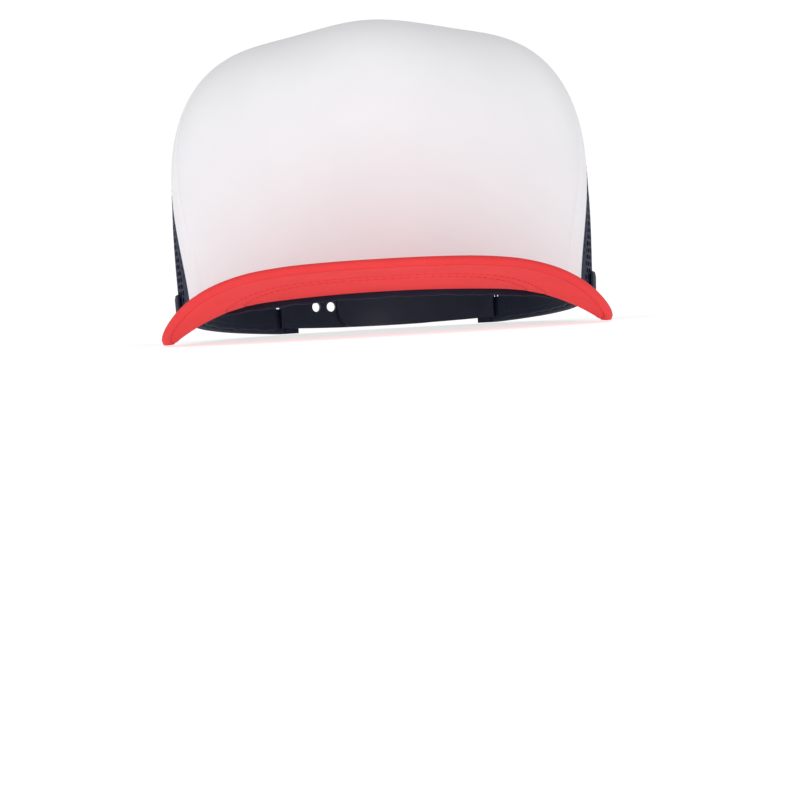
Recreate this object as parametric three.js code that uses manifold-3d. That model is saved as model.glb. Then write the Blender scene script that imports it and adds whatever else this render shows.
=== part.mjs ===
// Trucker cap: a foam front panel, four mesh panels, a curved cloth-covered peak, a sweatband,
// bound edges and a plastic snap strap. Millimetres, +Z up, the front of the cap towards -Y.
// The cap is drawn with its rim level and the front of the rim at y = 0, and the group at the end
// turns it onto the floor as it lies by itself: on both sides of the peak and the back of the rim.
import * as THREE from "three";
import { mergeVertices } from "three/addons/utils/BufferGeometryUtils.js";
import Module from "manifold-3d";

const wasm = await Module();
wasm.setup();

// Crown, measured on the outside of the foam
const crownWidth = 170;
const crownLength = 196;
const crownHeight = 114;
const apexBack = 82; // the button lies this far behind the front of the rim
const frontSquareness = 4.2; // exponents of the crown's profile: 2 is an ellipse, more is boxier
const sideSquareness = 3.65;
const backSquareness = 2.5;
const sideSwell = 0.03; // how far the side walls belly out, as a share of the rim's radius
const ridgeHeight = 3.8; // the soft peak that the stiff foam makes along the middle of the top
const ridgeSpread = 27;
const ridgeFade = 48; // the peak dies out this far behind the button

// Seams, as distances along the rim from the front centre
const frontSeamAlong = 91;
const frontSeamSweep = 22; // the front seams lean this far backwards on their way up
const sideSeamAlong = 190;

// Cloth
const foamThickness = 3.0;
const foamRollWidth = 4.5; // the foam's edge rolls over beside its seams
const foamRollDepth = 1.2;
const meshThickness = 1.2;
const meshInset = 0.8; // the mesh lies this far inside the face of the foam
const clearance = 0.3; // between pieces that touch
const bandThickness = 1.5;
const bandHeight = 33;
const bandDrop = 2.3; // the sweatband shows this far below the peak
const bandFootRun = 40; // behind the peak the sweatband's foot takes this length to reach the rim
const bandEndGap = 4; // from the end of the sweatband to the anchored end of a strap
const tapeThickness = 0.8;
const tapeWidth = 11;
const tapeEndGap = 1; // above the sweatband or the back's binding
const tapeTopWidth = 4; // beside the button
const bindingThickness = 0.9;
const rimBindingHeight = 10;
const archBindingHeight = 8;

// Opening above the strap
const archHalfWidth = 46;
const archHeight = 45;

// Peak
const peakHalfWidth = 88.5;
const peakReach = 68; // ahead of the front of the rim
const peakRise = 9; // the middle of the front edge lies this far above the rim
const peakFall = 22; // the sides lie this far below the middle of the front edge
const peakThickness = 3.2;
const peakEdgeRound = 3; // width of the rounded outer edge
const peakEndAlong = 99; // the peak is sewn on up to here
const peakEndRoom = 1.5; // from the end of the peak to the mesh and binding that go on beside it
const peakArch = 3.2; // rise of the sewn edge between its two ends

// Snap strap
const strapHeight = 19;
const strapThickness = 1.3;
const strapFoot = 1.2; // above the rim
const strapAnchor = 11; // length sewn to the rim
const strapTipRadius = 7;
const strapStepLength = 18; // the strap with the pegs steps inwards over this length
const snapPitch = 8;
const snapCount = 8;
const snapsFastened = 6;
const snapTipMargin = 5; // from the last snap to the tip
const pegRadius = 1.8;
const pegHeadRadius = 2.5;
const pegHeadHeight = 1.2;
const snapHoleRadius = 2.15;

// Button
const buttonRadius = 7;
const buttonHeight = 4.2;
const buttonRimHeight = 0.8;
const buttonShank = 2.6;
const buttonFlange = 5;
const buttonFlangeThickness = 1;

// What is pressed flat where the cap rests
const flattening = 0.6;

// Half of the rim seen from above, as shares of half the width and of the length
const rimPlan = [
  { across: 0, back: 0 },
  { across: 0.26, back: 0.015 },
  { across: 0.51, back: 0.062 },
  { across: 0.755, back: 0.134 },
  { across: 0.925, back: 0.199 },
  { across: 0.995, back: 0.266 },
  { across: 1, back: 0.345 },
  { across: 0.958, back: 0.475 },
  { across: 0.91, back: 0.61 },
  { across: 0.79, back: 0.76 },
  { across: 0.58, back: 0.89 },
  { across: 0.3, back: 0.974 },
  { across: 0, back: 1 },
];

// Half of the peak's outer edge from the middle to its end, as shares of the half width,
// of the reach and of the fall. The last point, where the peak meets the rim, is worked out.
const peakEdge = [
  { across: 0, ahead: 1, fall: 0 },
  { across: 0.22, ahead: 0.985, fall: 0.005 },
  { across: 0.43, ahead: 0.925, fall: 0.03 },
  { across: 0.6, ahead: 0.825, fall: 0.1 },
  { across: 0.745, ahead: 0.69, fall: 0.25 },
  { across: 0.86, ahead: 0.52, fall: 0.47 },
  { across: 0.94, ahead: 0.31, fall: 0.72 },
  { across: 0.985, ahead: 0.08, fall: 0.92 },
  { across: 0.99, ahead: -0.17, fall: 0.98 },
  { across: 0.972, ahead: -0.42, fall: 0.82 },
];

// How the foam's outer face rolls over towards its seam, as shares of the roll's width and depth
const foamRoll = [
  { inset: 0, sink: 1 },
  { inset: 0.36, sink: 0.29 },
  { inset: 1, sink: 0 },
];

// How the peak thins towards its outer edge, as shares of the rounded edge's width and of half the thickness
const peakRounding = [
  { inset: 1, thick: 1 },
  { inset: 0.33, thick: 0.86 },
  { inset: 0, thick: 0.45 },
];

// How finely the curved pieces are divided
const panelRows = 17;
const rowCrowding = 0.35; // rows stand closer together by this share where the crown turns in
const frontColumns = 22;
const sideColumns = 10;
const backColumns = 5;
const archColumns = 9;
const peakColumns = 42;
const peakRows = 4;
const bandColumns = 12;
const bandRows = 3;
const snapSides = 8;
const buttonSides = 14;

const v3 = (x, y, z) => new THREE.Vector3(x, y, z);
const mix = THREE.MathUtils.lerp;
const steps = (count) => Array.from({ length: count + 1 }, (_, i) => i / count);

// Rim curve

const halfRim = rimPlan.map((row) => v3((row.across * crownWidth) / 2, row.back * crownLength, 0));
const otherHalf = halfRim.slice(1, -1).reverse().map((p) => v3(-p.x, p.y, 0));
const rimCurve = new THREE.CatmullRomCurve3([...halfRim, ...otherHalf], true, "centripetal");
rimCurve.arcLengthDivisions = 1200;
const rimLength = rimCurve.getLength();
const backAlong = rimLength / 2;

// A point of the rim, at a signed distance along it from the front centre.
const rimPoint = (along) => rimCurve.getPointAt((((along / rimLength) % 1) + 1) % 1);

// Crown surface

function bareCrownPoint(along, climb) {
  const rim = rimPoint(along);
  const out = v3(rim.x, rim.y - apexBack, 0);
  const radius = out.length();
  const forward = -out.y / radius;
  const endSquareness = forward > 0 ? frontSquareness : backSquareness;
  const squareness = mix(sideSquareness, endSquareness, forward * forward);
  const angle = (climb * Math.PI) / 2;
  const sine = Math.abs(Math.sin(angle));
  const size = Math.pow(Math.pow(Math.cos(angle), squareness) + Math.pow(sine, squareness), -1 / squareness);
  const swell = sideSwell * (1 - forward * forward) * Math.sin(2 * angle);
  const reach = size * Math.cos(angle) + swell;
  const rise = size * Math.sin(angle);
  const x = out.x * reach;
  const y = apexBack + out.y * reach;
  const behind = THREE.MathUtils.smoothstep(y, apexBack, apexBack + ridgeFade);
  const ridge = ridgeHeight * Math.exp(-((x / ridgeSpread) ** 2)) * (1 - behind) * Math.max(rise, 0);
  return v3(x, y, crownHeight * rise + ridge);
}

function crownNormal(along, climb) {
  const stepAlong = 0.5;
  const stepClimb = 0.002;
  const level = Math.min(climb, 1 - 2 * stepClimb);
  const across = bareCrownPoint(along + stepAlong, level).sub(bareCrownPoint(along - stepAlong, level));
  const up = bareCrownPoint(along, level + stepClimb).sub(bareCrownPoint(along, level - stepClimb));
  return across.cross(up).normalize();
}

// A point of the crown: along the rim, up to the button as climb goes from 0 to 1, lifted off the face.
function crownPoint(along, climb, lift = 0) {
  return bareCrownPoint(along, climb).addScaledVector(crownNormal(along, climb), lift);
}

// The climb at which the crown is at a height above the rim.
function climbAt(along, height) {
  let low = -0.2;
  let high = 0.9;
  for (let turn = 0; turn < 30; turn++) {
    const middle = (low + high) / 2;
    if (bareCrownPoint(along, middle).z < height) low = middle;
    else high = middle;
  }
  return (low + high) / 2;
}

// A point of the crown at a height above the rim.
const onCrown = (along, height, lift = 0) => crownPoint(along, climbAt(along, height), lift);

// The climb at which the panels stop around the button's shank.
function topClimb(along) {
  const radius = rimPoint(along).distanceTo(v3(0, apexBack, 0));
  return 1 - (Math.asin((buttonShank + 2 * clearance) / radius) * 2) / Math.PI;
}

// Millimetres on the crown for each millimetre along the rim, at a climb.
function spread(along, climb) {
  const step = 0.5;
  return bareCrownPoint(along + step, climb).distanceTo(bareCrownPoint(along - step, climb)) / (2 * step);
}

// The seams, each as the distance along the rim that it lies above at a climb.
const frontSeam = (climb) => frontSeamAlong + frontSeamSweep * THREE.MathUtils.smoothstep(climb, 0, 0.5);
const sideSeam = () => sideSeamAlong;
const backSeam = () => backAlong;
const mirrored = (seam) => (climb) => -seam(climb);

// Solids

function signedVolume(points, faces) {
  let sum = 0;
  for (const [a, b, c] of faces) sum += points[a].dot(points[b].clone().cross(points[c]));
  return sum / 6;
}

function geometryOf(points, faces) {
  const outward = signedVolume(points, faces) > 0;
  const turned = outward ? faces : faces.map(([a, b, c]) => [a, c, b]);
  const geometry = new THREE.BufferGeometry();
  geometry.setAttribute("position", new THREE.Float32BufferAttribute(points.flatMap((p) => p.toArray()), 3));
  geometry.setIndex(turned.flat());
  return geometry;
}

// A closed wall between two grids of points, the outer face and the inner one.
function wall(outer, inner) {
  const columns = outer.length;
  const rows = outer[0].length;
  const points = [...outer.flat(), ...inner.flat()];
  const at = (face, column, row) => face * columns * rows + column * rows + row;
  const faces = [];
  const quad = (a, b, c, d) => faces.push([a, b, c], [a, c, d]);
  for (let i = 0; i < columns - 1; i++) {
    for (let j = 0; j < rows - 1; j++) {
      quad(at(0, i, j), at(0, i + 1, j), at(0, i + 1, j + 1), at(0, i, j + 1));
      quad(at(1, i, j), at(1, i, j + 1), at(1, i + 1, j + 1), at(1, i + 1, j));
    }
    quad(at(0, i, 0), at(1, i, 0), at(1, i + 1, 0), at(0, i + 1, 0));
    quad(at(0, i, rows - 1), at(0, i + 1, rows - 1), at(1, i + 1, rows - 1), at(1, i, rows - 1));
  }
  for (let j = 0; j < rows - 1; j++) {
    quad(at(0, 0, j), at(0, 0, j + 1), at(1, 0, j + 1), at(1, 0, j));
    quad(at(0, columns - 1, j), at(1, columns - 1, j), at(1, columns - 1, j + 1), at(0, columns - 1, j + 1));
  }
  return geometryOf(points, faces);
}

function solidOf(geometry) {
  const bare = geometry.index ? geometry.toNonIndexed() : geometry.clone();
  bare.deleteAttribute("normal");
  bare.deleteAttribute("uv");
  const merged = mergeVertices(bare, 1e-4);
  const vertProperties = merged.attributes.position.array;
  const triVerts = new Uint32Array(merged.index.array);
  return new wasm.Manifold(new wasm.Mesh({ numProp: 3, vertProperties, triVerts }));
}

function geometryFrom(solid) {
  const mesh = solid.getMesh();
  const geometry = new THREE.BufferGeometry();
  geometry.setAttribute("position", new THREE.Float32BufferAttribute(mesh.vertProperties, 3));
  geometry.setIndex([...mesh.triVerts]);
  return geometry;
}

// Crown panels

// The foot of the wall: it stands on the peak, on the rim, or on the arch above the strap.
function footHeight(along) {
  const distance = Math.abs(along);
  if (distance < peakEndAlong + peakEndRoom / 2) return peakLevel(along) + peakThickness / 2 + 2 * clearance;
  const fromBack = backAlong - distance;
  if (fromBack >= archHalfWidth) return 0;
  return archHeight * Math.sqrt(1 - (fromBack / archHalfWidth) ** 2);
}

// The climbs of a panel's rows at a place along the rim, from its foot to the button.
function rowClimbs(along) {
  const foot = climbAt(along, footHeight(along));
  const crowded = (share) => share + (rowCrowding * Math.sin(2 * Math.PI * share)) / (2 * Math.PI);
  return steps(panelRows).map((share) => mix(foot, topClimb(along), crowded(share)));
}

// A panel between two seams, from its foot to the button.
function crownPanel(fromSeam, toSeam, columnsAt, outerLift, innerLift) {
  const outer = [];
  const inner = [];
  const footWidth = toSeam(0) - fromSeam(0);
  const columnCount = columnsAt(footWidth).length;
  for (let i = 0; i < columnCount; i++) {
    const outerColumn = [];
    const innerColumn = [];
    for (const climb of rowClimbs(mix(fromSeam(0), toSeam(0), columnsAt(footWidth)[i]))) {
      const from = fromSeam(climb);
      const to = toSeam(climb);
      const width = (to - from) * spread((from + to) / 2, climb);
      const start = from + clearance / 2 / spread(from, climb);
      const end = to - clearance / 2 / spread(to, climb);
      const along = mix(start, end, columnsAt(width)[i]);
      outerColumn.push(crownPoint(along, climb, outerLift(i)));
      innerColumn.push(crownPoint(along, climb, innerLift));
    }
    outer.push(outerColumn);
    inner.push(innerColumn);
  }
  return wall(outer, inner);
}

function frontPanel() {
  const edgeCount = foamRoll.length;
  const columnsAt = (width) => {
    const rollShare = Math.min(foamRollWidth / width, 0.25);
    const edge = foamRoll.map((row) => row.inset * rollShare);
    const last = edge[edgeCount - 1];
    const middle = steps(frontColumns).slice(1, -1).map((share) => mix(last, 1 - last, share));
    return [...edge, ...middle, ...edge.map((share) => 1 - share).reverse()];
  };
  const total = 2 * edgeCount + frontColumns - 1;
  const sinkOf = (i) => foamRoll[Math.min(i, total - 1 - i)]?.sink ?? 0;
  const outerLift = (i) => -foamRollDepth * sinkOf(i);
  return crownPanel(mirrored(frontSeam), frontSeam, columnsAt, outerLift, -foamThickness);
}

const meshLift = () => -meshInset;
const meshInnerLift = -meshInset - meshThickness;

// Where the mesh's columns stand on the rim: behind the peak, then behind the side seam.
const columnsBetween = (from, to, count) => steps(count).map((share) => mix(from, to, share));
const sideRimColumns = columnsBetween(peakEndAlong + peakEndRoom, sideSeamAlong, sideColumns);
const backRimColumns = columnsBetween(sideSeamAlong, backAlong - archHalfWidth, backColumns);

function sideMesh(side) {
  // The foot steps down from the peak to the rim between two columns that stand close together.
  const columns = [frontSeamAlong, (frontSeamAlong + peakEndAlong) / 2, peakEndAlong, ...sideRimColumns];
  const shares = columns.map((along) => (along - frontSeamAlong) / (sideSeamAlong - frontSeamAlong));
  const [from, to] = side > 0 ? [frontSeam, sideSeam] : [mirrored(sideSeam), mirrored(frontSeam)];
  const columnsAt = () => (side > 0 ? shares : shares.map((share) => 1 - share).reverse());
  return crownPanel(from, to, columnsAt, meshLift, meshInnerLift);
}

function backMesh(side) {
  const arched = steps(archColumns)
    .slice(1)
    .map((share) => backAlong - archHalfWidth * Math.cos((share * Math.PI) / 2));
  const columns = [...backRimColumns, ...arched];
  const shares = columns.map((along) => (along - sideSeamAlong) / (backAlong - sideSeamAlong));
  const [from, to] = side > 0 ? [sideSeam, backSeam] : [mirrored(backSeam), mirrored(sideSeam)];
  const columnsAt = () => (side > 0 ? shares : shares.map((share) => 1 - share).reverse());
  return crownPanel(from, to, columnsAt, meshLift, meshInnerLift);
}

// Tape along the inside of a seam, from a height above the rim to the button.
function seamTape(seam, fromHeight, outerLift) {
  const outer = [];
  const inner = [];
  const end = topClimb(seam(1)) - (buttonFlange - buttonShank) / crownHeight;
  const isCovered = (climb) => bareCrownPoint(seam(climb), climb).z > fromHeight && climb < end;
  for (const climb of [...rowClimbs(seam(0)).filter(isCovered), end]) {
    const along = seam(climb);
    const width = mix(tapeWidth, tapeTopWidth, THREE.MathUtils.smoothstep(climb, 0.6, 1));
    const half = width / 2 / spread(along, climb);
    const row = [along - half, along, along + half];
    outer.push(row.map((place) => crownPoint(place, climb, outerLift)));
    inner.push(row.map((place) => crownPoint(place, climb, outerLift - tapeThickness)));
  }
  return wall(outer, inner);
}

// Sweatband

const bandOuterLift = -foamThickness - 2 * clearance;
const strapAnchorAlong = backAlong - archHalfWidth - strapAnchor;
const bandEndAlong = strapAnchorAlong - bandEndGap;

// The bottom of the band follows the peak in front and rises to the rim behind it.
function bandFoot(along) {
  const behind = THREE.MathUtils.smoothstep(Math.abs(along), peakEndAlong, peakEndAlong + bandFootRun);
  return mix(peakLevel(along) - peakThickness / 2 - bandDrop, 0, behind);
}

function sweatband() {
  const outer = [];
  const inner = [];
  const half = [
    ...steps(bandColumns).map((share) => share * (peakEndAlong + peakEndRoom)),
    ...sideRimColumns.slice(1),
    ...backRimColumns.slice(1).filter((along) => along < bandEndAlong),
    bandEndAlong,
  ];
  const otherSide = half.slice(1).reverse().map((along) => -along);
  for (const along of [...otherSide, ...half]) {
    const heights = steps(bandRows).map((up) => bandFoot(along) + up * bandHeight);
    outer.push(heights.map((height) => onCrown(along, height, bandOuterLift)));
    inner.push(heights.map((height) => onCrown(along, height, bandOuterLift - bandThickness)));
  }
  return wall(outer, inner);
}

// Binding folded over an edge of the mesh, along a path of { along, height, inAlong, inHeight },
// where the last two point from the edge into the mesh.
function binding(path, depth) {
  const outside = clearance + bindingThickness;
  const outerSide = [
    { deep: depth, lift: -meshInset + outside },
    { deep: -outside, lift: -meshInset + outside },
    { deep: -outside, lift: meshInnerLift - outside },
    { deep: depth, lift: meshInnerLift - outside },
  ];
  const slotSide = [
    { deep: depth, lift: -meshInset + clearance },
    { deep: -clearance, lift: -meshInset + clearance },
    { deep: -clearance, lift: meshInnerLift - clearance },
    { deep: depth, lift: meshInnerLift - clearance },
  ];
  const place = (spot) => (corner) =>
    onCrown(spot.along + spot.inAlong * corner.deep, spot.height + spot.inHeight * corner.deep, corner.lift);
  return wall(
    path.map((spot) => outerSide.map(place(spot))),
    path.map((spot) => slotSide.map(place(spot))),
  );
}

function rimBinding(side) {
  const end = backAlong - archHalfWidth - archBindingHeight - clearance;
  const columns = [...sideRimColumns, ...backRimColumns.slice(1).filter((along) => along < end), end];
  const path = columns.map((along) => ({ along: side * along, height: 0, inAlong: 0, inHeight: 1 }));
  return binding(path, rimBindingHeight);
}

function archBinding() {
  const foot = { height: -clearance - bindingThickness, inHeight: 0 };
  const arch = steps(archColumns * 3).map((share) => {
    const angle = share * Math.PI;
    const steep = Math.hypot(Math.cos(angle) / archHalfWidth, Math.sin(angle) / archHeight);
    return {
      along: backAlong - archHalfWidth * Math.cos(angle),
      height: archHeight * Math.sin(angle),
      inAlong: -Math.cos(angle) / archHalfWidth / steep,
      inHeight: Math.sin(angle) / archHeight / steep,
    };
  });
  const path = [{ ...arch[0], ...foot }, ...arch, { ...arch[arch.length - 1], ...foot }];
  return binding(path, archBindingHeight);
}

// Peak

// Height of the middle of the peak's thickness where it is sewn to the rim.
function peakLevel(along) {
  const share = Math.min(Math.abs(along) / peakEndAlong, 1);
  return peakThickness / 2 + peakArch * (1 - share * share);
}

function peakOuterCurve() {
  const half = peakEdge.map((row) =>
    v3(row.across * peakHalfWidth, -row.ahead * peakReach, peakRise - row.fall * peakFall),
  );
  half.push(onCrown(peakEndAlong, peakLevel(peakEndAlong), 5 * clearance));
  const other = half.slice(1).reverse().map((p) => v3(-p.x, p.y, p.z));
  const curve = new THREE.CatmullRomCurve3([...other, ...half], false, "centripetal");
  curve.arcLengthDivisions = 800;
  return curve;
}

function peak() {
  const outerCurve = peakOuterCurve();
  const half = peakThickness / 2;
  const tangentStep = 0.01;
  const top = [];
  const bottom = [];
  for (const share of steps(peakColumns)) {
    const along = mix(-peakEndAlong, peakEndAlong, share);
    const sewn = onCrown(along, peakLevel(along), -foamThickness + 3 * clearance);
    const edge = outerCurve.getPointAt(share);
    const ruling = edge.clone().sub(sewn);
    const width = ruling.length();
    const outward = ruling.clone().normalize();
    const before = outerCurve.getPointAt(Math.max(share - tangentStep, 0));
    const after = outerCurve.getPointAt(Math.min(share + tangentStep, 1));
    const up = outward.clone().cross(after.sub(before)).normalize();
    const round = Math.min(peakEdgeRound, width / 5);
    const rows = [
      ...steps(peakRows).slice(0, -1).map((step) => ({ reach: step * (width - round), thick: 1 })),
      ...peakRounding.map((row) => ({ reach: width - row.inset * round, thick: row.thick })),
    ];
    const at = (row, sign) =>
      sewn.clone().addScaledVector(outward, row.reach).addScaledVector(up, sign * half * row.thick);
    top.push(rows.map((row) => at(row, 1)));
    bottom.push(rows.map((row) => at(row, -1)));
  }
  return wall(top, bottom);
}

// Snap strap

// Snap positions, as distances from the middle of the back towards the strap's own side.
const snapPlaces = Array.from({ length: snapCount }, (_, i) => (i - (snapsFastened - 1) / 2) * snapPitch);

// The strap with the pegs steps inwards to pass behind the strap with the holes.
const strapOverlap = snapTipMargin - snapPlaces[0]; // each strap runs this far past the middle of the back
const strapLift = bandOuterLift;
const pegStrapLift = strapLift - strapThickness - clearance;

// A strap from its anchored end, on the side given, to its rounded tip past the middle of the back.
function strapWall(side, liftAt) {
  const roundness = 0.995; // short of 1, so that the tip keeps an edge
  const fromBack = [
    ...steps(8).map((share) => mix(archHalfWidth + strapAnchor, -strapOverlap + strapTipRadius, share)),
    ...steps(4)
      .slice(1)
      .map((share) => -strapOverlap + strapTipRadius * (1 - roundness * Math.sin((share * Math.PI) / 2))),
  ];
  const outer = [];
  const inner = [];
  for (const distance of fromBack) {
    const intoTip = Math.max(0, (strapTipRadius - (distance + strapOverlap)) / strapTipRadius);
    const trim = strapTipRadius * (1 - Math.sqrt(1 - intoTip * intoTip));
    const along = side * (backAlong - distance);
    const heights = [strapFoot + trim, strapFoot + strapHeight / 2, strapFoot + strapHeight - trim];
    const lift = liftAt(distance);
    outer.push(heights.map((height) => onCrown(along, height, lift)));
    inner.push(heights.map((height) => onCrown(along, height, lift - strapThickness)));
  }
  return wall(outer, inner);
}

// A turned piece on the strap's outer face, its axis along the face's normal.
function turnedOnStrap(profile, distance, lift) {
  const lathe = new THREE.LatheGeometry(profile.map(([r, h]) => new THREE.Vector2(r, h)), snapSides);
  const along = backAlong - distance;
  const height = strapFoot + strapHeight / 2;
  const climb = climbAt(along, height);
  const turn = new THREE.Quaternion().setFromUnitVectors(v3(0, 1, 0), crownNormal(along, climb));
  const matrix = new THREE.Matrix4().compose(crownPoint(along, climb, lift), turn, v3(1, 1, 1));
  return solidOf(lathe.applyMatrix4(matrix));
}

function stepInwards(distance) {
  const outwards = THREE.MathUtils.smoothstep(distance, archHalfWidth - strapStepLength, archHalfWidth);
  return mix(pegStrapLift, strapLift, outwards);
}

function pegStrap() {
  const headLift = strapThickness + 2 * clearance; // above the face of the peg strap
  const root = -strapThickness / 2;
  const profile = [
    [0, root],
    [pegRadius, root],
    [pegRadius, headLift],
    [pegHeadRadius, headLift],
    [pegHeadRadius * 0.8, headLift + pegHeadHeight * 0.7],
    [0, headLift + pegHeadHeight],
  ];
  let strap = solidOf(strapWall(1, stepInwards));
  for (const place of snapPlaces) strap = strap.add(turnedOnStrap(profile, place, stepInwards(place)));
  return geometryFrom(strap);
}

function holeStrap() {
  const deep = strapThickness * 2;
  const profile = [
    [0, -deep],
    [snapHoleRadius, -deep],
    [snapHoleRadius, deep],
    [0, deep],
  ];
  let strap = solidOf(strapWall(-1, () => strapLift));
  for (const place of snapPlaces) strap = strap.subtract(turnedOnStrap(profile, -place, strapLift));
  return geometryFrom(strap);
}

// Button

function button() {
  const seat = clearance;
  const under = -foamThickness - 2 * clearance;
  const dome = steps(5).map((share) => {
    const angle = (share * Math.PI) / 2;
    const height = buttonRimHeight + (buttonHeight - buttonRimHeight) * Math.sin(angle);
    return [buttonRadius * Math.cos(angle), seat + height];
  });
  dome[dome.length - 1][0] = 0;
  const profile = [
    [0, under - buttonFlangeThickness],
    [buttonFlange, under - buttonFlangeThickness],
    [buttonFlange, under],
    [buttonShank, under],
    [buttonShank, seat],
    [buttonRadius, seat],
    ...dome,
  ];
  const lathe = new THREE.LatheGeometry(profile.map(([r, h]) => new THREE.Vector2(r, h)), buttonSides);
  lathe.rotateX(Math.PI / 2);
  lathe.translate(0, apexBack, crownHeight + ridgeHeight);
  return geometryFrom(solidOf(lathe));
}

// Pieces

const foamCloth = { color: 0xf1f0f3, roughness: 0.85, metalness: 0 };
const redCloth = { color: 0xd8303a, roughness: 0.8, metalness: 0 };
const navyMesh = { color: 0x1a2440, roughness: 0.7, metalness: 0 };
const navyCloth = { color: 0x161b2c, roughness: 0.85, metalness: 0 };
const navyPlastic = { color: 0x141a2e, roughness: 0.4, metalness: 0 };

const frontTapeLift = -foamThickness - clearance;
const meshTapeLift = meshInnerLift - clearance;
const aboveBand = peakArch + bandHeight + tapeEndGap;
const aboveArch = archHeight + archBindingHeight + tapeEndGap;

const shapes = {
  front_panel: [foamCloth, frontPanel()],
  side_mesh_left: [navyMesh, sideMesh(1)],
  side_mesh_right: [navyMesh, sideMesh(-1)],
  back_mesh_left: [navyMesh, backMesh(1)],
  back_mesh_right: [navyMesh, backMesh(-1)],
  front_seam_tape_left: [navyCloth, seamTape(frontSeam, aboveBand, frontTapeLift)],
  front_seam_tape_right: [navyCloth, seamTape(mirrored(frontSeam), aboveBand, frontTapeLift)],
  side_seam_tape_left: [navyCloth, seamTape(sideSeam, aboveBand, meshTapeLift)],
  side_seam_tape_right: [navyCloth, seamTape(mirrored(sideSeam), aboveBand, meshTapeLift)],
  back_seam_tape: [navyCloth, seamTape(backSeam, aboveArch, meshTapeLift)],
  sweatband: [navyCloth, sweatband()],
  rim_binding_left: [navyCloth, rimBinding(1)],
  rim_binding_right: [navyCloth, rimBinding(-1)],
  arch_binding: [navyCloth, archBinding()],
  peak: [redCloth, peak()],
  peg_strap: [navyPlastic, pegStrap()],
  hole_strap: [navyPlastic, holeStrap()],
  button: [navyCloth, button()],
};
const pieces = Object.entries(shapes).map(([name, [finish, geometry]]) => ({ name, finish, geometry }));

// Standing on the floor

// The lower side of the cap seen from its side, as points from front to back.
function lowerOutline(points) {
  const sorted = [...points].sort((a, b) => a.y - b.y || a.z - b.z);
  const hull = [];
  for (const point of sorted) {
    while (hull.length > 1) {
      const [a, b] = hull.slice(-2);
      if ((b.y - a.y) * (point.z - a.z) - (b.z - a.z) * (point.y - a.y) > 0) break;
      hull.pop();
    }
    hull.push(point);
  }
  return hull;
}

function pointsOf(geometry) {
  const position = geometry.attributes.position;
  return Array.from({ length: position.count }, (_, i) => v3().fromBufferAttribute(position, i));
}

// The floor is the line under the middle of the crown.
const outline = lowerOutline(pieces.flatMap((piece) => pointsOf(piece.geometry)));
const backIndex = outline.findIndex((point) => point.y > crownLength / 2);
const frontRest = outline[backIndex - 1];
const backRest = outline[backIndex];
const restTilt = Math.atan2(frontRest.z - backRest.z, backRest.y - frontRest.y);

// Turned so that the floor is level, with the lowest points still below it by what gets pressed flat.
const standing = new THREE.Matrix4().makeRotationX(restTilt);
const floorLevel = frontRest.clone().applyMatrix4(standing).z + flattening;
const box = new THREE.Box3();
for (const piece of pieces) {
  for (const point of pointsOf(piece.geometry)) box.expandByPoint(point.applyMatrix4(standing));
}
const middle = (box.min.y + box.max.y) / 2;
standing.premultiply(new THREE.Matrix4().makeTranslation(0, -middle, -floorLevel));

// The floor as a block, in the frame in which the cap is drawn.
const floorDepth = 20;
const floorBlock = new THREE.BoxGeometry(3 * crownWidth, 3 * crownLength, floorDepth);
floorBlock.translate(0, 0, -floorDepth / 2).applyMatrix4(standing.clone().invert());
const floorSolid = solidOf(floorBlock);

function pressedFlat(geometry) {
  const lowest = Math.min(...pointsOf(geometry).map((point) => point.applyMatrix4(standing).z));
  return lowest < 0 ? geometryFrom(solidOf(geometry).subtract(floorSolid)) : geometry;
}

const cap = new THREE.Group();
cap.name = "trucker_cap";
standing.decompose(cap.position, cap.quaternion, cap.scale);
for (const { name, geometry, finish } of pieces) {
  const shape = pressedFlat(geometry);
  shape.computeVertexNormals();
  const mesh = new THREE.Mesh(shape, new THREE.MeshStandardMaterial(finish));
  mesh.name = name;
  cap.add(mesh);
}

export default cap;
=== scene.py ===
import math
import bpy
import numpy as np
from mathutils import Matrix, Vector


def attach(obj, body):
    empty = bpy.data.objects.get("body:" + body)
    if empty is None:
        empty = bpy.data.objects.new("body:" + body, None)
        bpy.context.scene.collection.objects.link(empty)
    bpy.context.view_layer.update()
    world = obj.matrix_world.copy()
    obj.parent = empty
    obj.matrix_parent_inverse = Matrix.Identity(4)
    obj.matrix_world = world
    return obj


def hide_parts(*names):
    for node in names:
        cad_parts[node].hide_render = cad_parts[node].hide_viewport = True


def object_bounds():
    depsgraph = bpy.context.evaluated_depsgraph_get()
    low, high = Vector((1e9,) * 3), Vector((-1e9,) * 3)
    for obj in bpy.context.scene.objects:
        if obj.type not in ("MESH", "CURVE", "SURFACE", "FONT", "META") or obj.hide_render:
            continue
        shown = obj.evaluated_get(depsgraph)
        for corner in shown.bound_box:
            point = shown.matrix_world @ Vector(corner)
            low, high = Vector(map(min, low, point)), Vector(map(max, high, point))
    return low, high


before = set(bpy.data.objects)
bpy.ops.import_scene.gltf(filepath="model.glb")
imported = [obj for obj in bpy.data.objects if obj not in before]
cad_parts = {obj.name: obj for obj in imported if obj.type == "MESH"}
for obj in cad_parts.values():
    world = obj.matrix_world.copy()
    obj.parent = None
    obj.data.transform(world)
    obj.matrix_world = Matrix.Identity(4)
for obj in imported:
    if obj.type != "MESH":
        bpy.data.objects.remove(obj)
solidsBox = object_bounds()
print("frame loaded, nodes:", len(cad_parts))

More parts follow.
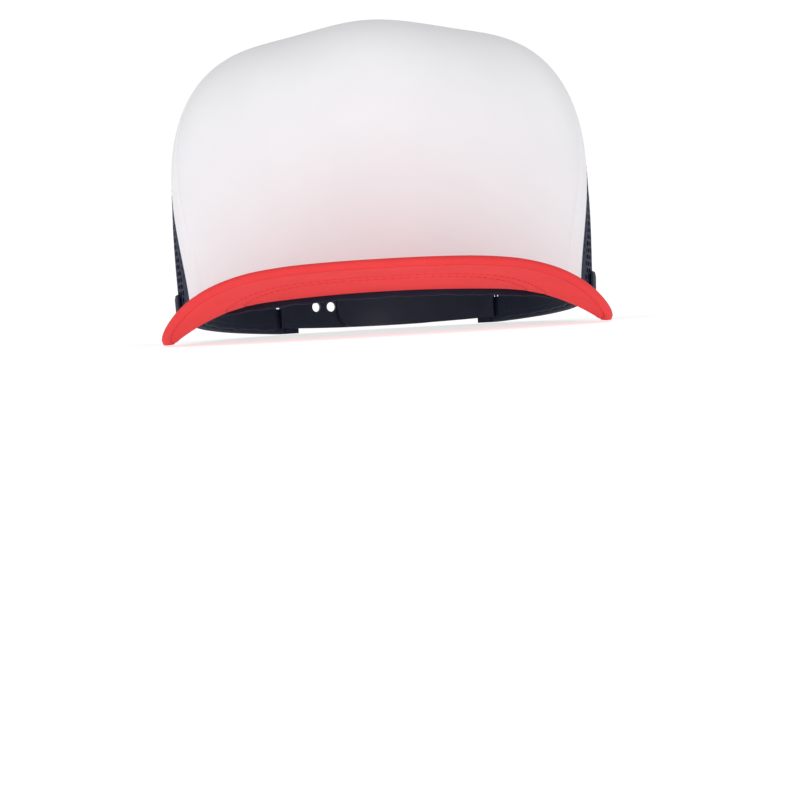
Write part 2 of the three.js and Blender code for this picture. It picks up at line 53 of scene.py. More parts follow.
# Sizes are in millimetres in the cap's own frame: rim level, front at y 0, the wearer's left at +x
cap = {
    "width": 170.0,
    "length": 196.0,
    "height": 114.0,
    "apexBack": 82.0,
    "frontSquareness": 4.2,
    "sideSquareness": 3.65,
    "backSquareness": 2.5,
    "sideSwell": 0.03,
    "ridgeHeight": 3.8,
    "ridgeSpread": 27.0,
    "ridgeFade": 48.0,
    "frontSeamAlong": 91.0,
    "frontSeamSweep": 22.0,
    "sideSeamAlong": 190.0,
    "restTilt": -3.98852,  # degrees, as it lies on the ends of its peak and on the back of its rim
    "restShift": (0.0, -63.6747, 13.2405),
    "clearance": 0.3,
    "foam": 3.0,
    "net": 1.2,
    "netInset": 0.8,
}
rimPlan = [  # half of the rim from above: shares of half the width and of the length
    (0, 0), (0.26, 0.015), (0.51, 0.062), (0.755, 0.134), (0.925, 0.199), (0.995, 0.266), (1, 0.345),
    (0.958, 0.475), (0.91, 0.61), (0.79, 0.76), (0.58, 0.89), (0.3, 0.974), (0, 1),
]


def between(a, b, share):
    return a + (b - a) * share


def ease(value, low, high):
    t = np.clip((value - low) / (high - low), 0, 1)
    return t * t * (3 - 2 * t)


def smoothLine(points, closed, perSpan=90):
    # Centripetal spline through the points, with its length up to each place
    points = np.array(points, float)
    before = points[-1] if closed else 2 * points[0] - points[1]
    after = points[:2] if closed else 2 * points[-1] - points[-2]
    through = np.vstack([before, points, after])
    t = np.linspace(0, 1, perSpan, endpoint=False)[:, None]
    spans = []
    for a, b, c, d in zip(through, through[1:], through[2:], through[3:]):
        ab, bc, cd = (math.sqrt(np.linalg.norm(q - p)) for p, q in ((a, b), (b, c), (c, d)))
        leave = ((b - a) / ab - (c - a) / (ab + bc) + (c - b) / bc) * bc
        arrive = ((c - b) / bc - (d - b) / (bc + cd) + (d - c) / cd) * bc
        bend = (3 * (c - b) - 2 * leave - arrive) * t**2
        spans.append(b + leave * t + bend + (2 * (b - c) + leave + arrive) * t**3)
    line = np.vstack([*spans, through[-2:-1]])
    return line, lengthsAlong(line)


def crowded(count, ends):
    # Shares from 0 to 1 that stand closer together at both ends, or in the middle where ends is below 0
    t = np.linspace(0, 1, count + 1)
    return t - ends * np.sin(2 * math.pi * t) / (2 * math.pi)


def lengthsAlong(line):
    return np.concatenate([[0], np.cumsum(np.linalg.norm(np.diff(line, axis=0), axis=1))])


def alongLine(line, lengths, at):
    return np.stack([np.interp(at, lengths, line[:, axis]) for axis in range(line.shape[1])], -1)


halfRim = [(across * cap["width"] / 2, back * cap["length"]) for across, back in rimPlan]
rimLine, rimLengths = smoothLine(halfRim + [(-x, y) for x, y in halfRim[-2:0:-1]], closed=True)
rimLength = rimLengths[-1]
backAlong = rimLength / 2


def bareCrown(along, climb):
    # A point of the crown: along the rim from the front, and up to the button as climb goes from 0 to 1
    along, climb = np.broadcast_arrays(np.asarray(along, float), np.asarray(climb, float))
    out = alongLine(rimLine, rimLengths, along % rimLength) - (0, cap["apexBack"])
    forward = -out[..., 1] / np.linalg.norm(out, axis=-1)
    ends = np.where(forward > 0, cap["frontSquareness"], cap["backSquareness"])
    squareness = between(cap["sideSquareness"], ends, forward**2)
    angle = climb * math.pi / 2
    size = (np.cos(angle) ** squareness + np.abs(np.sin(angle)) ** squareness) ** (-1 / squareness)
    reach = size * np.cos(angle) + cap["sideSwell"] * (1 - forward**2) * np.sin(2 * angle)
    rise = size * np.sin(angle)
    x = out[..., 0] * reach
    y = cap["apexBack"] + out[..., 1] * reach
    inFront = 1 - ease(y, cap["apexBack"], cap["apexBack"] + cap["ridgeFade"])
    ridge = cap["ridgeHeight"] * np.exp(-((x / cap["ridgeSpread"]) ** 2)) * inFront * np.maximum(rise, 0)
    return np.stack([x, y, cap["height"] * rise + ridge], -1)


def crownNormal(along, climb):
    level = np.minimum(climb, 0.996)
    across = bareCrown(along + 0.5, level) - bareCrown(along - 0.5, level)
    up = bareCrown(along, level + 0.002) - bareCrown(along, level - 0.002)
    normal = np.cross(across, up)
    return normal / np.linalg.norm(normal, axis=-1, keepdims=True)


def crown(along, climb, lift=0.0):
    along, climb, lift = np.broadcast_arrays(along, climb, lift)
    return bareCrown(along, climb) + crownNormal(along, climb) * lift[..., None]


def climbAt(along, height):
    # The climb at which the crown is at a height above the rim
    along, height = np.broadcast_arrays(np.asarray(along, float), height)
    low = np.full(along.shape, -0.2)
    high = np.full(along.shape, 0.9)
    for _ in range(26):
        middle = (low + high) / 2
        below = bareCrown(along, middle)[..., 2] < height
        low = np.where(below, middle, low)
        high = np.where(below, high, middle)
    return (low + high) / 2


def onCrown(along, height, lift=0.0):
    return crown(along, climbAt(along, height), lift)


def spread(along, climb):
    # Millimetres on the crown for each millimetre along the rim
    return np.linalg.norm(bareCrown(along + 0.5, climb) - bareCrown(along - 0.5, climb), axis=-1)


def frontSeam(climb):
    return cap["frontSeamAlong"] + cap["frontSeamSweep"] * ease(climb, 0, 0.5)


def sideSeam(climb):
    return cap["sideSeamAlong"] + 0 * climb


def backSeam(climb):
    return backAlong + 0 * climb


def mirrored(seam, side):
    return lambda climb: side * seam(climb)


def stand(points):
    # From the cap's own frame to the floor's, in metres
    tilt = math.radians(cap["restTilt"])
    x, y, z = (points[..., axis] for axis in range(3))
    cos, sin = math.cos(tilt), math.sin(tilt)
    turned = np.stack([x, y * cos - z * sin, y * sin + z * cos], -1)
    return (turned + cap["restShift"]) / 1000


# Tools that every piece goes through

def deselectAll():
    bpy.ops.object.select_all(action="DESELECT")


def pick(*pieces):
    deselectAll()
    for piece in pieces:
        piece.select_set(True)
    bpy.context.view_layer.objects.active = pieces[0]


def editMode(piece, kind="VERT"):
    pick(piece)
    bpy.ops.object.mode_set(mode="EDIT")
    bpy.ops.mesh.select_mode(type=kind)


def objectMode():
    bpy.ops.object.mode_set(mode="OBJECT")


def pickPoints(action="SELECT"):
    bpy.ops.mesh.select_all(action=action)


def turnOutwards():
    # The last step in edit mode: every face looks outwards
    pickPoints()
    bpy.ops.mesh.normals_make_consistent(inside=False)
    objectMode()


def newObject(name, data):
    made = bpy.data.objects.new(name, data)
    bpy.context.scene.collection.objects.link(made)
    return made


def applyModifier(piece, kind, **settings):
    modifier = piece.modifiers.new(kind.lower(), kind)
    for key, value in settings.items():
        setattr(modifier, key, value)
    pick(piece)
    bpy.ops.object.modifier_apply(modifier=modifier.name)


def pointsOf(piece):
    flat = np.empty(len(piece.data.vertices) * 3)
    piece.data.vertices.foreach_get("co", flat)
    return flat.reshape(-1, 3)


def setPoints(piece, points):
    piece.data.vertices.foreach_set("co", np.ascontiguousarray(points, float).ravel())
    piece.data.update()


def setUv(piece, uv):
    layer = piece.data.uv_layers[0]
    corners = np.empty(len(piece.data.loops), int)
    piece.data.loops.foreach_get("vertex_index", corners)
    layer.data.foreach_set("uv", np.ascontiguousarray(uv[corners], float).ravel())


def sheetFrom(name, table):
    # A grid laid on a table of points, (columns, rows, 3). Its UV is the cloth's own measure, in metres
    columns, rows = table.shape[:2]
    deselectAll()
    bpy.ops.mesh.primitive_grid_add(x_subdivisions=columns - 1, y_subdivisions=rows - 1, size=1)
    piece = bpy.context.object
    piece.name = name
    flat = pointsOf(piece)
    i = np.rint((flat[:, 0] + 0.5) * (columns - 1)).astype(int)
    j = np.rint((flat[:, 1] + 0.5) * (rows - 1)).astype(int)
    setPoints(piece, stand(table[i, j]))
    across = np.zeros((columns, rows))
    up = np.zeros((columns, rows))
    across[1:] = np.cumsum(np.linalg.norm(np.diff(table, axis=0), axis=-1), axis=0)
    up[:, 1:] = np.cumsum(np.linalg.norm(np.diff(table, axis=1), axis=-1), axis=1)
    across -= across[columns // 2]
    setUv(piece, np.stack([across[i, j], up[i, j]], -1) / 1000)
    return piece


def joinPieces(name, *pieces):
    pick(*pieces)
    bpy.ops.object.join()
    joined = bpy.context.object
    joined.name = name
    joined.data.name = name
    return joined


def closeWall(name, outer, inner):
    # Two sheets joined all round their edges into one wall
    wall = joinPieces(name, sheetFrom(name, outer), sheetFrom(name + "Inside", inner))
    editMode(wall, "EDGE")
    pickPoints("DESELECT")
    bpy.ops.mesh.select_non_manifold()
    bpy.ops.mesh.bridge_edge_loops()
    turnOutwards()
    return wall


def crownWall(name, along, climb, outerLift, innerLift):
    return closeWall(name, crown(along, climb, outerLift), crown(along, climb, innerLift))


def rollShut(piece):
    # Merges the sides that meet, closes the open ends and turns the faces outwards
    editMode(piece)
    pickPoints()
    bpy.ops.mesh.remove_doubles(threshold=2e-6)
    bpy.ops.mesh.fill_holes(sides=0)
    turnOutwards()


edgeBevel = {"segments": 2, "limit_method": "ANGLE", "angle_limit": 0.9}


def finishPiece(piece, nodes, material, edge=0.0, smoothAngle=50):
    # Softened edges, the floor under it, smooth shading, its material, and its place in the frame
    if edge:
        applyModifier(piece, "BEVEL", width=edge / 1000, **edgeBevel)
    points = pointsOf(piece)
    points[:, 2] = np.maximum(points[:, 2], 0)
    setPoints(piece, points)
    pick(piece)
    bpy.ops.object.shade_smooth_by_angle(angle=math.radians(smoothAngle))
    piece.data.materials.clear()
    piece.data.materials.append(material)
    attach(piece, "root")
    if nodes:
        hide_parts(*nodes)
    return piece


# Shader maths: a socket that adds and multiplies like a number

class Reading:
    def __init__(self, finish, socket):
        self.finish = finish
        self.socket = socket

    def maths(self, operation, first, second):
        return self.finish.add("ShaderNodeMath", {"operation": operation}, {0: first, 1: second})

    def __add__(self, other):
        return self.maths("ADD", self, other)

    def __mul__(self, other):
        return self.maths("MULTIPLY", self, other)

    def wave(self):
        return self.maths("SINE", self, 0)

    __radd__ = __add__
    __rmul__ = __mul__


class Finish:
    def __init__(self, name, **constants):
        self.material = bpy.data.materials.new(name)
        self.material.use_nodes = True
        self.tree = self.material.node_tree
        self.shader = self.tree.nodes["Principled BSDF"]
        for key, value in constants.items():
            self.shader.inputs[key.replace("_", " ")].default_value = value

    def add(self, kind, settings=None, inputs=None, output=0):
        node = self.tree.nodes.new(kind)
        for key, value in (settings or {}).items():
            if key == "stops":
                for element, (place, colour) in zip(node.color_ramp.elements, value):
                    element.position = place
                    element.color = (*colour, 1)
            else:
                setattr(node, key, value)
        for key, value in (inputs or {}).items():
            self.connect(node.inputs[key], value)
        return Reading(self, node.outputs[output])

    def connect(self, socket, value):
        if isinstance(value, Reading):
            self.tree.links.new(value.socket, socket)
        else:
            socket.default_value = value

    def feed(self, name, value):
        self.connect(self.shader.inputs[name], value)

    def objectPlace(self):
        return self.add("ShaderNodeTexCoord", output=3)

    def noise(self, scale, detail):
        inputs = {"Vector": self.objectPlace(), "Scale": scale, "Detail": detail}
        return self.add("ShaderNodeTexNoise", {}, inputs)

    def ramp(self, value, low, high, lowAt, highAt):
        return self.add("ShaderNodeValToRGB", {"stops": [(lowAt, low), (highAt, high)]}, {"Fac": value})

    def clothWave(self, threadPitch, slant):
        # Threads over and under each other, at a pitch in millimetres, on the piece's own UV
        uv = self.add("ShaderNodeUVMap", {"uv_map": "UVMap"})
        x = self.add("ShaderNodeSeparateXYZ", {}, {0: uv})
        y = Reading(self, x.socket.node.outputs[1])
        turn = 2 * math.pi / (threadPitch / 1000)
        warp = (x * turn + y * (turn * slant)).wave()
        weft = (y * turn).wave()
        return warp * weft

    def bump(self, height, depth):
        # Depth of the relief in millimetres
        inputs = {"Height": height, "Distance": depth / 1000, "Strength": 1.0}
        self.feed("Normal", self.add("ShaderNodeBump", {}, inputs))


clothLook = {
    "patchScale": 38.0,
    "fuzzScale": 2600.0,
    "toneEnds": (0.2, 0.7),
    "roughnessSpread": 0.16,
    "sheenRoughness": 0.5,
    "specular": 0.2,
}
plasticLook = {
    "patchScale": 90.0,
    "grainScale": 1500.0,
    "toneEnds": (0.3, 0.7),
    "roughnessSpread": 0.2,
    "relief": 0.02,
    "refraction": 1.49,
}


def clothFinish(name, dark, light, threadPitch, depth, roughness, sheen, slant):
    finish = Finish(
        name, Sheen_Weight=sheen, Sheen_Roughness=clothLook["sheenRoughness"],
        Sheen_Tint=(*light, 1), Specular_IOR_Level=clothLook["specular"],
    )
    patches = finish.noise(clothLook["patchScale"], 3.0)
    threads = finish.clothWave(threadPitch, slant)
    fuzz = finish.noise(clothLook["fuzzScale"], 1.0)
    tone = 0.6 * patches + 0.2 * threads + 0.2 * fuzz
    finish.feed("Base Color", finish.ramp(tone, dark, light, *clothLook["toneEnds"]))
    change = clothLook["roughnessSpread"]
    finish.feed("Roughness", roughness - change / 2 + change * fuzz)
    finish.bump(0.5 * threads + 0.7 * fuzz, depth)
    return finish.material


def plasticFinish(name, dark, light, roughness):
    finish = Finish(name, IOR=plasticLook["refraction"])
    patches = finish.noise(plasticLook["patchScale"], 2.0)
    grain = finish.noise(plasticLook["grainScale"], 2.0)
    finish.feed("Base Color", finish.ramp(patches, dark, light, *plasticLook["toneEnds"]))
    change = plasticLook["roughnessSpread"]
    finish.feed("Roughness", roughness - change / 2 + change * grain)
    finish.bump(grain, plasticLook["relief"])
    return finish.material


cloths = {  # dark and light tone, thread pitch, depth of the relief, roughness, sheen, slant of the weave
    "foamCloth": ((0.84, 0.835, 0.86), (0.88, 0.875, 0.895), 0.42, 0.03, 0.72, 0.12, 0.5),
    "redCloth": ((0.72, 0.040, 0.044), (0.84, 0.056, 0.058), 0.50, 0.05, 0.78, 0.1, 0.0),
    "navyNet": ((0.010, 0.014, 0.034), (0.020, 0.028, 0.062), 0.34, 0.03, 0.55, 0.1, 1.0),
    "navyCloth": ((0.009, 0.012, 0.028), (0.018, 0.023, 0.048), 0.46, 0.05, 0.72, 0.15, 1.0),
    "whiteThread": ((0.72, 0.71, 0.74), (0.86, 0.85, 0.88), 0.3, 0.03, 0.6, 0.2, 1.0),
    # The red thread is darker than the red cloth: partly the thread's own tone, partly painted shade of
    # the needle holes and grooves along the rows
    "redThread": ((0.44, 0.012, 0.016), (0.62, 0.026, 0.03), 0.3, 0.03, 0.6, 0.2, 1.0),
    "navyThread": ((0.014, 0.019, 0.042), (0.032, 0.042, 0.085), 0.3, 0.03, 0.5, 0.2, 1.0),
}
materials = {name: clothFinish(name, *look) for name, look in cloths.items()}
plastic = plasticFinish("navyPlastic", (0.010, 0.013, 0.030), (0.014, 0.018, 0.040), 0.36)
materials["navyPlastic"] = plastic
print("materials:", len(materials))

# Camera, floor and light

photo = {
    "side": 800,  # this, focal, crownTop and middle are in pixels, the lengths below in metres
    "focal": 3120,
    "crownTop": (380, 19),
    "middle": (392, 400),
    "distance": 1.3,
    "eyeHeight": 0.015,
    "aimBack": 0.02,
    "roll": -3.3,  # degrees
}
studio = {
    "floorSize": 12.0,
    "floorFaces": 60,
    "floorDrop": 0.0004,
    "levelTo": 2.4,  # from here the floor turns up, and it levels out again at wallAt
    "wallAt": 6.0,
    "wallHeight": 1.6,
    "paper": (0.6, 0.6, 0.61, 1),
    "glow": 0.64,
    "sky": 0.6,
}
lights = {  # place, aim, size and power
    "keyLight": ((-0.8, -1.5, 0.5), (0, 0, 0.06), 0.5, 3.6),
    "lowLight": ((0.3, -1.7, 0.18), (0, -0.05, 0.05), 0.3, 4.0),
}


def placeCamera():
    camera = newObject("camera", bpy.data.cameras.new("camera"))
    camera.data.sensor_width = 36
    camera.data.lens = photo["focal"] / photo["side"] * camera.data.sensor_width
    camera.data.clip_start = 0.01
    perPixel = photo["distance"] / photo["focal"]
    top = solidsBox[1].z
    half = photo["side"] / 2
    aimX = (half - photo["middle"][0]) * perPixel
    aimZ = top - (half - photo["crownTop"][1]) * perPixel
    eye = Vector((aimX, photo["aimBack"] - photo["distance"], photo["eyeHeight"]))
    aim = Vector((aimX, photo["aimBack"], aimZ))
    camera.location = eye
    camera.rotation_euler = (aim - eye).to_track_quat("-Z", "Y").to_euler()
    camera.rotation_euler.rotate_axis("Z", math.radians(photo["roll"]))
    bpy.context.scene.camera = camera


def areaLight(name, place, aim, size, power):
    light = newObject(name, bpy.data.lights.new(name, "AREA"))
    light.data.shape = "DISK"
    light.data.size = size
    light.data.energy = power
    light.location = place
    light.rotation_euler = (Vector(aim) - Vector(place)).to_track_quat("-Z", "Y").to_euler()


def layStage():
    deselectAll()
    faces = studio["floorFaces"]
    bpy.ops.mesh.primitive_grid_add(x_subdivisions=faces, y_subdivisions=faces, size=studio["floorSize"])
    floor = bpy.context.object
    floor.name = "floor"
    points = pointsOf(floor)
    turnedUp = ease(np.linalg.norm(points[:, :2], axis=1), studio["levelTo"], studio["wallAt"])
    points[:, 2] = studio["wallHeight"] * turnedUp - studio["floorDrop"]
    setPoints(floor, points)
    bpy.ops.object.shade_smooth()
    paper = Finish("palePaper", Roughness=0.9)
    paper.feed("Base Color", studio["paper"])
    paper.feed("Emission Color", (1, 1, 1, 1))
    paper.feed("Emission Strength", studio["glow"])
    floor.data.materials.append(paper.material)


placeCamera()
layStage()
for lightName, lightFacts in lights.items():
    areaLight(lightName, *lightFacts)
world = bpy.data.worlds.new("studio")
bpy.context.scene.world = world
world.use_nodes = True
sky = world.node_tree.nodes["Background"]
sky.inputs["Color"].default_value = (1, 1, 1, 1)
sky.inputs["Strength"].default_value = studio["sky"]
bpy.context.scene.view_settings.view_transform = "Standard"
print("camera, floor and lights placed")

# Stitches

stitch = {
    "pitch": 3.1,
    "length": 2.35,
    "width": 0.55,
    "height": 0.5,
    "dip": 0.3,
    "segments": 6,
    "rings": 5,
    "reach": 0.6,  # the row's direction is taken this far to both sides
    "samples": 160,
}


def stitchShape():
    # One stitch, lying along x: a stretched ball whose ends dip into the cloth
    deselectAll()
    segments, rings = stitch["segments"], stitch["rings"]
    bpy.ops.mesh.primitive_uv_sphere_add(segments=segments, ring_count=rings, radius=0.5)
    ball = bpy.context.object
    bpy.ops.transform.rotate(value=math.pi / 2, orient_axis="Y", center_override=(0, 0, 0))
    bpy.ops.object.transform_apply(location=False, rotation=True, scale=False)
    points = pointsOf(ball) * (stitch["length"], stitch["width"], stitch["height"])
    points[:, 2] -= stitch["dip"] * (points[:, 0] / (stitch["length"] / 2)) ** 2
    faces = [tuple(face.vertices) for face in ball.data.polygons]
    bpy.data.objects.remove(ball)
    return points, faces


stitchPoints, stitchFaces = stitchShape()


def stitchRow(line, normals):
    # Middle, direction and normal of each stitch along a line of points on the cloth
    lengths = lengthsAlong(line)
    count = int(lengths[-1] / stitch["pitch"])
    at = (np.arange(count) + 0.5) * lengths[-1] / count
    middle = alongLine(line, lengths, at)
    reach = stitch["reach"]
    ahead = alongLine(line, lengths, at + reach) - alongLine(line, lengths, at - reach)
    up = alongLine(normals, lengths, at)
    return middle, ahead, up


def sewPiece(name, rows, material):
    # All the stitches of some rows as one mesh
    middle, ahead, up = (np.vstack(parts) for parts in zip(*rows))
    ahead = ahead / np.linalg.norm(ahead, axis=1, keepdims=True)
    side = np.cross(up, ahead)
    side = side / np.linalg.norm(side, axis=1, keepdims=True)
    up = np.cross(ahead, side)
    x, y, z = (stitchPoints[:, axis][None, :, None] for axis in range(3))
    points = middle[:, None] + x * ahead[:, None] + y * side[:, None] + z * up[:, None]
    count = len(stitchPoints)
    starts = range(0, count * len(middle), count)
    faces = [[start + corner for corner in face] for start in starts for face in stitchFaces]
    mesh = bpy.data.meshes.new(name)
    mesh.from_pydata(stand(points.reshape(-1, 3)).tolist(), [], faces)
    piece = newObject(name, mesh)
    mesh.uv_layers.new(name="UVMap")
    setUv(piece, np.tile(stitchPoints[:, :2] / 1000, (len(middle), 1)))
    editMode(piece)
    turnOutwards()
    return finishPiece(piece, (), materials[material], smoothAngle=80)


def seamRow(seam, side, offset, fromClimb, toClimb, lift):
    # Stitches on the crown beside a seam, at an offset from it in millimetres
    climb = np.linspace(fromClimb, toClimb, stitch["samples"])
    along = seam(climb)
    along = side * (along + offset / spread(along, climb))
    return stitchRow(crown(along, climb, lift), crownNormal(along, climb))


# Peak

peak = {
    "halfWidth": 88.5,
    "reach": 68.0,
    "rise": 9.0,
    "fall": 22.0,
    "thickness": 3.2,
    "edgeRound": 1.9,
    "endAlong": 99.0,
    "arch": 3.2,
    "columns": 220,
    "rowsBetween": (6, 24, 12, 20),  # from the edge to the first stitching, and so on to the crown
    "samples": 90,
    "stitchedAt": (3.0, 27.5, 35.0),  # from the outer edge
    "stitchedWithin": (0.35, 0.7, 0.85),  # at most these shares of the way in
    "stitchEnd": 0.8,
    "stitchLift": 0.05,
    "grooveDepth": (0.5, 0.26, 0.26),
    "grooveWidth": (0.5, 0.75, 0.75),
    "ridgeAt": 3.9,  # a fine ridge just inside the rolled edge
    "ridgeHeight": 0.14,
    "ridgeWidth": 0.4,
    "swell": 0.15,
    "swellFrom": 3.0,
    "swellWidth": 24.5,
    "crowding": 0.72,
}
peakEdge = [  # half of the outer edge: shares of the half width, of the reach and of the fall
    (0, 1, 0), (0.22, 0.985, 0.005), (0.43, 0.925, 0.03), (0.6, 0.825, 0.1), (0.745, 0.69, 0.25),
    (0.86, 0.52, 0.47), (0.94, 0.31, 0.72), (0.985, 0.08, 0.92), (0.99, -0.17, 0.98), (0.972, -0.42, 0.82),
]


def peakLevel(along):
    share = np.minimum(np.abs(along) / peak["endAlong"], 1)
    return peak["thickness"] / 2 + peak["arch"] * (1 - share**2)


def peakOuterLine():
    half = [
        (across * peak["halfWidth"], -ahead * peak["reach"], peak["rise"] - drop * peak["fall"])
        for across, ahead, drop in peakEdge
    ]
    half.append(tuple(onCrown(peak["endAlong"], peakLevel(peak["endAlong"]), 5 * cap["clearance"])))
    return smoothLine([(-x, y, z) for x, y, z in half[:0:-1]] + half, closed=False)


def peakFrame():
    # For each column: where it is sewn on, the way out to the edge, its length, and which way is up
    edgeLine, edgeLengths = peakOuterLine()
    share = np.linspace(0, 1, peak["columns"] + 1)
    along = between(-peak["endAlong"], peak["endAlong"], share)
    sewn = onCrown(along, peakLevel(along), -cap["foam"] + 3 * cap["clearance"])
    total = edgeLengths[-1]
    edge = alongLine(edgeLine, edgeLengths, share * total)
    outward = edge - sewn
    width = np.linalg.norm(outward, axis=1)
    outward /= width[:, None]
    before = alongLine(edgeLine, edgeLengths, np.maximum(share - 0.01, 0) * total)
    after = alongLine(edgeLine, edgeLengths, np.minimum(share + 0.01, 1) * total)
    up = np.cross(outward, after - before)
    up /= np.linalg.norm(up, axis=1, keepdims=True)
    return edgeLine, sewn, outward, width, up


def distanceToEdge(points, edgeLine):
    # How far each point is from the outer edge, worked out in parts to save memory
    line = edgeLine[::6]
    parts = np.array_split(points.reshape(-1, 3), 24)
    nearest = [np.linalg.norm(part[:, None] - line[None], axis=2).min(axis=1) for part in parts]
    return np.concatenate(nearest).reshape(points.shape[:-1])


def insetWhere(target, far, inset):
    # How far along each column a distance from the outer edge is reached
    return np.array([np.interp(target, f, i) for f, i in zip(far, inset)])


def peakRows(width, far, inset):
    # Rows across the peak, closer together at the edge and beside each row of stitches
    knots = [np.zeros(len(width))]
    for target, limit in zip(peak["stitchedAt"], peak["stitchedWithin"]):
        knots.append(np.minimum(insetWhere(target, far, inset), limit * width))
    knots.append(width)
    rows = [np.zeros((len(width), 1))]
    for start, stop, count in zip(knots, knots[1:], peak["rowsBetween"]):
        rows.append(between(start[:, None], stop[:, None], crowded(count, peak["crowding"])[None, 1:]))
    return np.concatenate(rows, axis=1)


def peakHalfThickness(rows, farHere):
    # Half the thickness: rounded at the edge, swelling between the rows of stitches and pulled in at them
    roundness = np.clip(rows / peak["edgeRound"], 0, 1)
    half = peak["thickness"] / 2 * np.sqrt(1 - (1 - roundness) ** 2)
    for target, depth, wide in zip(peak["stitchedAt"], peak["grooveDepth"], peak["grooveWidth"]):
        half -= depth * np.exp(-(((farHere - target) / wide) ** 2))
    half += peak["ridgeHeight"] * np.exp(-(((farHere - peak["ridgeAt"]) / peak["ridgeWidth"]) ** 2))
    share = np.clip((farHere - peak["swellFrom"]) / peak["swellWidth"], 0, 1)
    return half + peak["swell"] * np.sin(share * math.pi)


def makePeak():
    edgeLine, sewn, outward, width, up = peakFrame()
    inset = np.linspace(0, 1, peak["samples"])[None] * width[:, None]  # from the edge, along each column
    middleFace = sewn[:, None] + outward[:, None] * (width[:, None] - inset)[..., None]
    far = np.maximum.accumulate(distanceToEdge(middleFace, edgeLine), axis=1)
    rows = peakRows(width, far, inset)
    farHere = np.array([np.interp(row, i, f) for row, i, f in zip(rows, inset, far)])
    half = peakHalfThickness(rows, farHere)
    face = sewn[:, None] + outward[:, None] * (width[:, None] - rows)[..., None]
    top = face + up[:, None] * half[..., None]
    bottom = face - up[:, None] * half[..., None]
    piece = sheetFrom("peak", np.concatenate([top[:, ::-1], bottom[:, 1:], top[:, -1:]], axis=1))
    rollShut(piece)
    finishPiece(piece, ("peak",), materials["redCloth"], smoothAngle=60)
    stitches = []
    for target, depth in zip(peak["stitchedAt"], peak["grooveDepth"]):
        reached = far[:, -1] > target + peak["stitchEnd"]
        line = sewn + outward * (width - insetWhere(target, far, inset))[:, None]
        lift = peak["thickness"] / 2 - depth + peak["stitchLift"]
        for sign in (1, -1):
            stitches.append(stitchRow((line + sign * lift * up)[reached], (sign * up)[reached]))
    sewPiece("peak_stitches", stitches, "redThread")


makePeak()
print("peak made")

# Where the panels begin and end

sewing = {"archHalfWidth": 46.0, "archHeight": 45.0, "peakEndRoom": 1.5}
button = {
    "radius": 7.0,
    "height": 4.2,
    "rimHeight": 0.8,
    "shank": 2.6,
    "flange": 5.0,
    "flangeThickness": 1.0,
    "steps": 16,
    "sides": 84,
    "pleats": 20,
    "pleatDepth": 0.05,
    "pleatsFrom": (3.0, 6.5),
}


def footHeight(along):
    # The wall's foot: on the peak, on the rim, or on the arch above the strap
    distance = np.abs(along)
    onPeak = peakLevel(along) + peak["thickness"] / 2 + 2 * cap["clearance"]
    fromBack = np.minimum(np.abs(backAlong - distance) / sewing["archHalfWidth"], 1)
    arch = sewing["archHeight"] * np.sqrt(1 - fromBack**2)
    return np.where(distance < peak["endAlong"] + sewing["peakEndRoom"] / 2, onPeak, arch)


def topClimb(along):
    out = alongLine(rimLine, rimLengths, along % rimLength) - (0, cap["apexBack"])
    radius = np.linalg.norm(out, axis=-1)
    return 1 - np.arcsin((button["shank"] + 2 * cap["clearance"]) / radius) * 2 / math.pi


def panelPlaces(fromSeam, toSeam, across, up):
    # Along and climb for shares across and up a panel between two seams
    footAlong = between(fromSeam(0.0), toSeam(0.0), across)
    foot = climbAt(footAlong, footHeight(footAlong))
    climb = between(foot[:, None], topClimb(footAlong)[:, None], up[None])
    start = fromSeam(climb)
    end = toSeam(climb)
    start = start + cap["clearance"] / 2 / spread(start, climb)
    end = end - cap["clearance"] / 2 / spread(end, climb)
    along = between(start, end, across[:, None])
    width = (end - start) * spread((start + end) / 2, climb)
    return along, climb, width


# Front panel: cloth on foam

front = {
    "columns": 190,
    "rows": 110,
    "rollWidth": 4.5,
    "rollDepth": 1.2,
    "edge": 0.5,
    "fill": 0.9,
    "stitchedAt": 9.0,  # from the side seams
    "stitchLift": 0.1,
    "stitchRoom": 2.4,  # the rows stop where the panel is narrower than this many times stitchedAt
    "grooveDepth": 0.5,
    "grooveWidth": 0.8,
    "stripHeight": 0.32,  # the seam allowance under the cloth lifts the strip beside the seam
    "stripEnds": (8.7, 9.5),
    "rippleSize": 19.0,
    "rippleHeight": 0.12,
    "rippleLimit": 0.2,
    "rippleDrop": 0.1,
    "rippleFrom": (9, 30),
    "crowding": (0.72, -0.35),  # columns at the seams, rows on the shoulder
}


def ripples(points):
    # Slow unevenness of soft cloth
    x, y, z = (points[..., axis] / front["rippleSize"] for axis in range(3))
    broad = np.sin(2.1 * x + 1.3 * z + 0.7) * np.sin(1.7 * y - 1.1 * z)
    narrow = np.sin(3.3 * z + 2.4 * x + 1.9)
    waves = front["rippleHeight"] * (broad + 0.5 * narrow)
    return np.minimum(waves, front["rippleLimit"]) - front["rippleDrop"]


